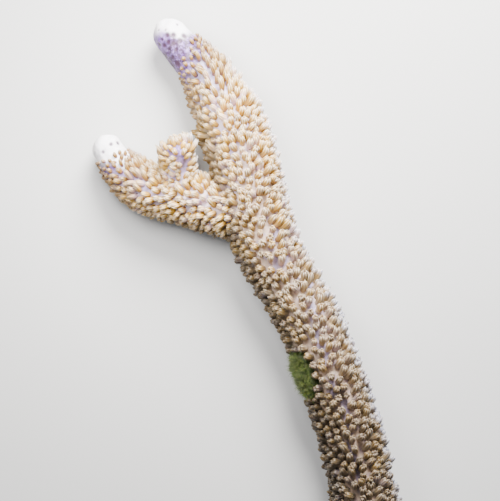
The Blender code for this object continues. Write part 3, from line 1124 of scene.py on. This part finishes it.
    def points(self) -> tuple[Array, dict[str, Array]]:
        """Works out every polyp's points at once.

        Returns:
            Points by polyp, and the numbers that the finish reads.
        """
        polyps, form = self.polyps, self.form
        chance = np.random.default_rng(self.seed + 1)
        count, around = len(polyps.foot), form.around
        rings = np.array(form.rings)
        column = np.arange(around)
        rib = column % 3 == 0
        lobe = ((column + 1) // 3) % form.tentacles
        lift = chance.uniform(-0.09, 0.07, (count, form.tentacles))[:, lobe]
        swell = chance.uniform(-0.14, 0.12, (count, form.tentacles))[:, lobe]
        height, wide, closed, groove, drop, differ = rings.T[:, None, :, None]
        u = height - drop * ~rib
        u = u + differ * lift[:, None, :]
        r = blend(closed, wide, polyps.openness[:, None, None]) * (1 - groove * ~rib)
        r = r * (1 + differ * swell[:, None, :])
        turn = math.tau * (column + 0.5) / around + chance.uniform(0, math.tau, (count, 1))
        turn = np.broadcast_to(turn[:, None, :], r.shape)
        parts = (u, r * np.cos(turn), r * np.sin(turn))
        u, arm_x, arm_y = (
            np.hstack([part.reshape(count, -1), np.full((count, 1), last)])
            for part, last in zip(parts, (form.mouth, 0.0, 0.0))
        )
        points = self._bend(u, arm_x, arm_y, chance)
        ring_rise = np.repeat(rings[:, 0], around)
        inner = np.repeat(np.arange(len(rings)) - (len(rings) - 3.0), around).clip(0, 2)
        cues = {
            "rise": np.append(ring_rise, form.mouth),
            "rib": np.append(np.tile(rib * 1.0, len(rings)), 0.0),
            "throat": np.append(inner * 0.42, 0.95),
        }
        cues["rib"][(len(rings) - 2) * around :] = 0.0
        return points, cues

    def _bend(
        self, u: Array, arm_x: Array, arm_y: Array, chance: np.random.Generator
    ) -> Array:
        """Stands the polyps on the skin and bends them towards the tips.

        Args:
            u: height of each point along its polyp.
            arm_x: how far it is to one side, in half widths.
            arm_y: how far it is to the other.
            chance: where the random turns come from.

        Returns:
            Points by polyp.
        """
        polyps = self.polyps
        out, tangent = polyps.out, polyps.place.tangent
        stray = chance.normal(0, 0.28, out.shape)
        ahead = tangent + stray
        ahead = unit(ahead - out * dot(ahead, out)[:, None])
        lean = 0.9 * polyps.lean[:, None]
        size = (polyps.length[:, None] / np.sqrt(1 + lean**2 * 0.8))[:, :, None]
        bend = lean * np.maximum(u, 0) ** 2
        centre = out[:, None, :] * u[:, :, None] + ahead[:, None, :] * bend[:, :, None]
        slope = 2 * lean * np.maximum(u, 0)
        heading = unit(out[:, None, :] + ahead[:, None, :] * slope[:, :, None])
        first = ahead[:, None, :] - heading * (heading * ahead[:, None, :]).sum(2, keepdims=True)
        first = unit(first)
        second = np.cross(heading, first)
        wide = polyps.width[:, None, None]
        arms = first * arm_x[:, :, None] + second * arm_y[:, :, None]
        points = polyps.foot[:, None, :] + centre * size + arms * wide
        lift(points)
        return points

    def dress(self) -> None:
        """Builds the polyps as a few joined pieces on the frame."""
        points, cues = self.points()
        finish = PolypFinish().make()
        tone = np.random.default_rng(self.seed + 2).uniform(0, 1, len(points))
        branch = self.polyps.place.branch
        part = np.searchsorted(self.splits, self.polyps.place.along, side="right")
        names = ("stem_polyps_low", "stem_polyps_middle", "stem_polyps_high", "upper_branch_polyps")
        groups = {
            name: (branch == Branch.MAIN.value) & (part == i) for i, name in enumerate(names)
        }
        groups["left_branch_polyps"] = branch == Branch.LEFT.value
        groups["side_shoot_polyps"] = branch == Branch.SHOOT.value
        for name, chosen in groups.items():
            some = points[chosen]
            mesh = self._mesh(name, some)
            own = {cue: getattr(self.polyps, cue)[chosen] for cue in self.CUES}
            own["tone"] = tone[chosen]
            write_cues(mesh, **{cue: np.tile(values, len(some)) for cue, values in cues.items()})
            write_cues(mesh, **{cue: np.repeat(own[cue], points.shape[1]) for cue in own})
            mesh.materials.append(finish)
            obj = make_object(name, mesh)
            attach(obj, BODY)
            log.info("%s: %d polyps, %d faces", name, len(some), len(mesh.polygons))

    def _mesh(self, name: str, some: Array) -> Mesh:
        """Joins polyps, given as points by polyp, into one mesh."""
        quads, mouths = self.form.faces(), self.form.mouth_faces()
        starts = (np.arange(len(some)) * some.shape[1])[:, None, None]
        faces = (quads[None] + starts).reshape(-1, 4).tolist()
        faces += (mouths[None] + starts).reshape(-1, 3).tolist()
        base = np.arange(self.form.around)[::-1][None, None] + starts
        faces += base.reshape(-1, self.form.around).tolist()
        mesh = make_mesh(name, some.reshape(-1, 3), faces)
        shade_smooth(mesh)
        return mesh


@dataclass
class Turf:
    """The tuft of green alga: a cushion with fine threads all over it."""

    line: GrowthLine
    patch: TurfPatch
    rings: int = 16
    spokes: int = 56
    thick: float = 1.55
    threads: int = 4600
    thread_radius: float = 0.031
    spread: float = 1.10
    # How far the cushion and the threads' roots are below the tuft's top, and
    # how far the cushion's underside is sunk into the skin.
    sunk_cushion: float = 0.35
    sunk_roots: float = 0.38
    sunk_base: float = 0.25
    seed: int = 23

    def _spot(self, share: Array, spoke: Array) -> tuple[Array, Array]:
        """Finds points of the skin under the cushion.

        Args:
            share: 0 in the patch's middle and 1 at its edge.
            spoke: direction over the patch, in radians.

        Returns:
            The points, and the directions out of the skin.
        """
        power = 2 / self.patch.squareness
        x = np.sign(np.cos(spoke)) * np.abs(np.cos(spoke)) ** power
        y = np.sign(np.sin(spoke)) * np.abs(np.sin(spoke)) ** power
        along = self.patch.along + self.patch.half_along * share * x
        index = np.clip(np.searchsorted(self.line.along, along), 0, len(self.line.along) - 1)
        radius = self.line.radii[index]
        turn = self.patch.turn + self.patch.half_around * share * y / radius
        side, up = self.line.sides()
        out = side[index] * np.cos(turn)[:, None] + up[index] * np.sin(turn)[:, None]
        return self.line.centres[index] + out * radius[:, None], out

    def _raised(self, share: Array, spoke: Array, sunk: float) -> tuple:
        """Finds points on the cushion's lumpy top.

        Args:
            share: 0 in the patch's middle and 1 at its edge.
            spoke: direction over the patch, in radians.
            sunk: how far below the top they are.

        Returns:
            The points, those of the skin below, and the directions out of it.
        """
        foot, out = self._spot(share, spoke)
        rough = lumps(foot, (31, 1.1, 0.16), (32, 0.45, 0.09))
        swell = np.sqrt(np.clip(1 - share**3.0, 0, 1))
        return foot + out * ((self.thick - sunk) * swell * (1 + rough))[:, None], foot, out

    def cushion(self) -> tuple[Array, list]:
        """Makes the lumpy closed cushion.

        Returns:
            The points and the faces.
        """
        share = np.repeat(np.arange(1, self.rings + 1) / self.rings, self.spokes)
        spoke = np.tile(np.arange(self.spokes) * math.tau / self.spokes, self.rings)
        share, spoke = np.append(share, 0.0), np.append(spoke, 0.0)
        top, foot, out = self._raised(share, spoke, self.sunk_cushion)
        points = np.vstack([top, foot - out * self.sunk_base])
        count, n = len(share), self.spokes
        faces = []
        for start, turned in ((0, 1), (count, -1)):
            middle = start + count - 1
            for j, k in pairs(n):
                faces.append((middle, start + j, start + k)[::turned])
                for a in range(start, start + (self.rings - 1) * n, n):
                    faces.append((a + j, a + n + j, a + n + k, a + k)[::turned])
        edge = (self.rings - 1) * n
        far = count + edge
        faces += [(edge + j, far + j, far + k, edge + k) for j, k in pairs(n)]
        return points, faces

    def fuzz(self) -> tuple[Array, Array, Array]:
        """Makes the threads, each a thin bent tapered spike.

        Returns:
            Points by thread, how far along each point is, and each tone.
        """
        chance = np.random.default_rng(self.seed)
        count = self.threads
        share = np.sqrt(chance.random(count)) * self.spread
        spoke = chance.uniform(0, math.tau, count)
        foot, _, out = self._raised(share, spoke, self.sunk_roots)
        middle, _ = self._spot(np.zeros(1), np.zeros(1))
        outward = unit(foot - middle)
        outward -= out * dot(outward, out)[:, None]
        heading = out + outward * (0.9 * share**2)[:, None] + chance.normal(0, 0.42, (count, 3))
        heading = unit(heading)
        length = chance.uniform(0.32, 0.88, count) * blend(1.0, 0.75, share)
        curl = chance.normal(0, 0.45, (count, 3))
        u = np.array([0.0, 0.35, 0.7, 1.0])
        path = foot[:, None] + heading[:, None] * (length[:, None] * u)[:, :, None]
        path = path + curl[:, None] * (length[:, None] * u**2)[:, :, None]
        side = unit(np.cross(heading, (0.3, 0.5, 0.8)))
        other = np.cross(heading, side)
        thin = self.thread_radius * np.array([1.0, 0.9, 0.65])
        turns = np.arange(3) * math.tau / 3
        arms = side[:, None] * np.cos(turns)[:, None] + other[:, None] * np.sin(turns)[:, None]
        rings = path[:, :3, None] + arms[:, None] * thin[None, :, None, None]
        points = np.concatenate([rings.reshape(count, 9, 3), path[:, 3:]], axis=1)
        rise = np.append(np.repeat([0.25, 0.5, 0.8], 3), 1.0)
        return points, rise, chance.random(count) ** 1.5

    def dress(self) -> bpy.types.Object:
        """Joins cushion and threads into one piece on the frame."""
        points, faces = self.cushion()
        threads, rise, tone = self.fuzz()
        start, each = len(points), threads.shape[1]
        rows = [(0, 2, 1), *tube_faces(3, 3), *((6 + j, 6 + k, 9) for j, k in pairs(3))]
        for first in range(start, start + len(threads) * each, each):
            faces += [tuple(first + i for i in row) for row in rows]
        everything = np.vstack([points, threads.reshape(-1, 3)])
        lift(everything)
        mesh = make_mesh("green_turf", everything, faces)
        shade_smooth(mesh)
        bed = np.full(start, 0.3)
        rise, tone = np.tile(rise, len(threads)), np.repeat(tone, each)
        write_cues(mesh, rise=np.append(bed, rise), tone=np.append(bed, tone))
        mesh.materials.append(TurfFinish().make())
        obj = make_object("green_turf", mesh)
        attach(obj, BODY)
        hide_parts("turf_alga")
        return obj


@dataclass
class Studio:
    """The floor, the soft lights and the camera over the branch."""

    lens: float = 100.0
    sensor: float = 36.0
    frame_pixels: tuple[int, int] = (500, 501)
    focus_height: float = 5.0
    clip_start: float = 0.005
    half_floor: float = 900.0
    # Each soft lamp's name, its place and width in metres, its watts and its tint.
    lamps: tuple[tuple[str, Triple, float, float, Triple], ...] = (
        ("key", (0.023, 0.112, 0.085), 0.08, 1.32, (1.0, 0.98, 0.95)),
        ("rim", (0.15, 0.14, 0.03), 0.06, 0.20, (0.66, 0.76, 1.0)),
        ("fill", (-0.25, 0.02, 0.30), 0.30, 0.10, (0.93, 0.95, 1.0)),
        ("near", (-0.018, 0.024, 0.045), 0.03, 0.050, (1.0, 0.98, 0.96)),
    )
    room: tuple[float, float, float, float] = (0.90, 0.93, 1.0, 1.0)
    room_strength: float = 0.33

    def floor(self) -> None:
        """Lays the floor."""
        corners = np.array([(-1, -1, 0), (1, -1, 0), (1, 1, 0), (-1, 1, 0)]) * self.half_floor
        mesh = make_mesh("studio_floor", corners, [(0, 1, 2, 3)])
        mesh.materials.append(FloorFinish().make())
        make_object("studio_floor", mesh)

    def camera(self) -> None:
        """Hangs the camera straight above, so that a pixel is 0.15 mm."""
        wide = self.frame_pixels[0] * PIXEL
        high = wide * self.lens / self.sensor
        x, y = from_pixel(self.frame_pixels[0] / 2, self.frame_pixels[1] / 2)
        data = bpy.data.cameras.new("overhead")
        data.lens = self.lens
        data.sensor_width = self.sensor
        data.clip_start = self.clip_start
        camera = make_object("overhead", data)
        camera.location = Vector((x, y, high + self.focus_height)) * MM
        bpy.context.scene.camera = camera

    def light(self) -> None:
        """Hangs the lamps, which face the branch, and sets the pale surroundings."""
        for name, at, size, watts, tint in self.lamps:
            data = bpy.data.lights.new(name, "AREA")
            data.shape = "DISK"
            data.size, data.energy, data.color = size, watts, tint
            lamp = make_object(name, data)
            lamp.location = at
            lamp.rotation_euler = (-Vector(at)).to_track_quat("-Z", "Y").to_euler()
        world = bpy.data.worlds.new("pale_room")
        bpy.context.scene.world = world
        world.use_nodes = True
        ground = world.node_tree.nodes["Background"]
        ground.inputs["Color"].default_value = self.room
        ground.inputs["Strength"].default_value = self.room_strength


def coral_lines() -> list[GrowthLine]:
    """Sets out the lines of growth, as in the source.

    Returns:
        The main line, the left branch and the short shoot.
    """
    return [
        GrowthLine(
            Branch.MAIN,
            (
                (18.3, -37.2, 4.85, 3.75), (17.3, -34.6, 4.75, 3.70), (15.4, -26.4, 4.75, 3.60),
                (13.3, -19.4, 5.00, 3.55), (11.5, -14.4, 5.15, 3.55), (9.7, -9.9, 5.05, 3.50),
                (7.6, -5.5, 4.75, 3.50), (4.8, -0.9, 4.65, 3.50), (2.6, 3.4, 4.90, 3.75),
                (0.8, 8.1, 5.15, 3.95), (-0.1, 11.8, 5.30, 4.10), (-0.8, 15.4, 5.30, 4.10),
                (-1.7, 19.0, 5.10, 3.95), (-3.1, 22.6, 4.70, 3.75), (-5.2, 26.2, 4.20, 3.30),
                (-7.4, 29.8, 3.75, 2.95), (-10.1, 33.2, 3.45, 2.75), (-11.9, 35.2, 3.50, 2.55),
            ),
            bare=4.4,
            bare_turn=1.7,
        ),
        GrowthLine(
            Branch.LEFT,
            (
                (-0.8, 9.4, 5.00, 3.00), (-3.6, 9.1, 4.70, 3.30), (-7.4, 9.9, 4.40, 3.10),
                (-11.1, 10.8, 4.05, 2.90), (-14.8, 11.8, 3.70, 2.75), (-17.1, 13.1, 3.50, 2.60),
                (-19.6, 15.5, 3.30, 2.45), (-21.3, 18.0, 3.25, 2.30),
            ),
            bare=1.6,
            bare_turn=-0.5,
        ),
        GrowthLine(
            Branch.SHOOT,
            (
                (-10.6, 11.6, 4.70, 2.00), (-10.6, 14.2, 5.50, 2.25), (-10.6, 16.0, 6.80, 2.00),
                (-10.6, 17.2, 8.10, 1.75),
            ),
            bare=-2.6,
            bare_turn=0.0,
        ),
    ]


def main() -> None:
    """Builds the branch's looks and the studio around it."""
    logging.basicConfig(level=logging.INFO, format="%(message)s")
    studio = Studio()
    studio.floor()
    studio.camera()
    studio.light()
    skeleton = Skeleton(coral_lines())
    patch, strips = TurfPatch(), BareStrips()
    skin = Skin(skeleton)
    skin.grow()
    log.info("skin: %d faces", len(skin.mesh.polygons))
    coat = PolypCoat(skin, patch, strips)
    coat.scatter()
    log.info("polyps: %d", len(coat.polyps.foot))
    skin.sculpt(coat.polyps.foot, patch, strips)
    skin.dress()
    coat.dress()
    turf = Turf(skeleton.lines[0], patch).dress()
    log.info("turf: %d faces", len(turf.data.polygons))
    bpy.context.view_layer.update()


if __name__ == "__main__":
    main()
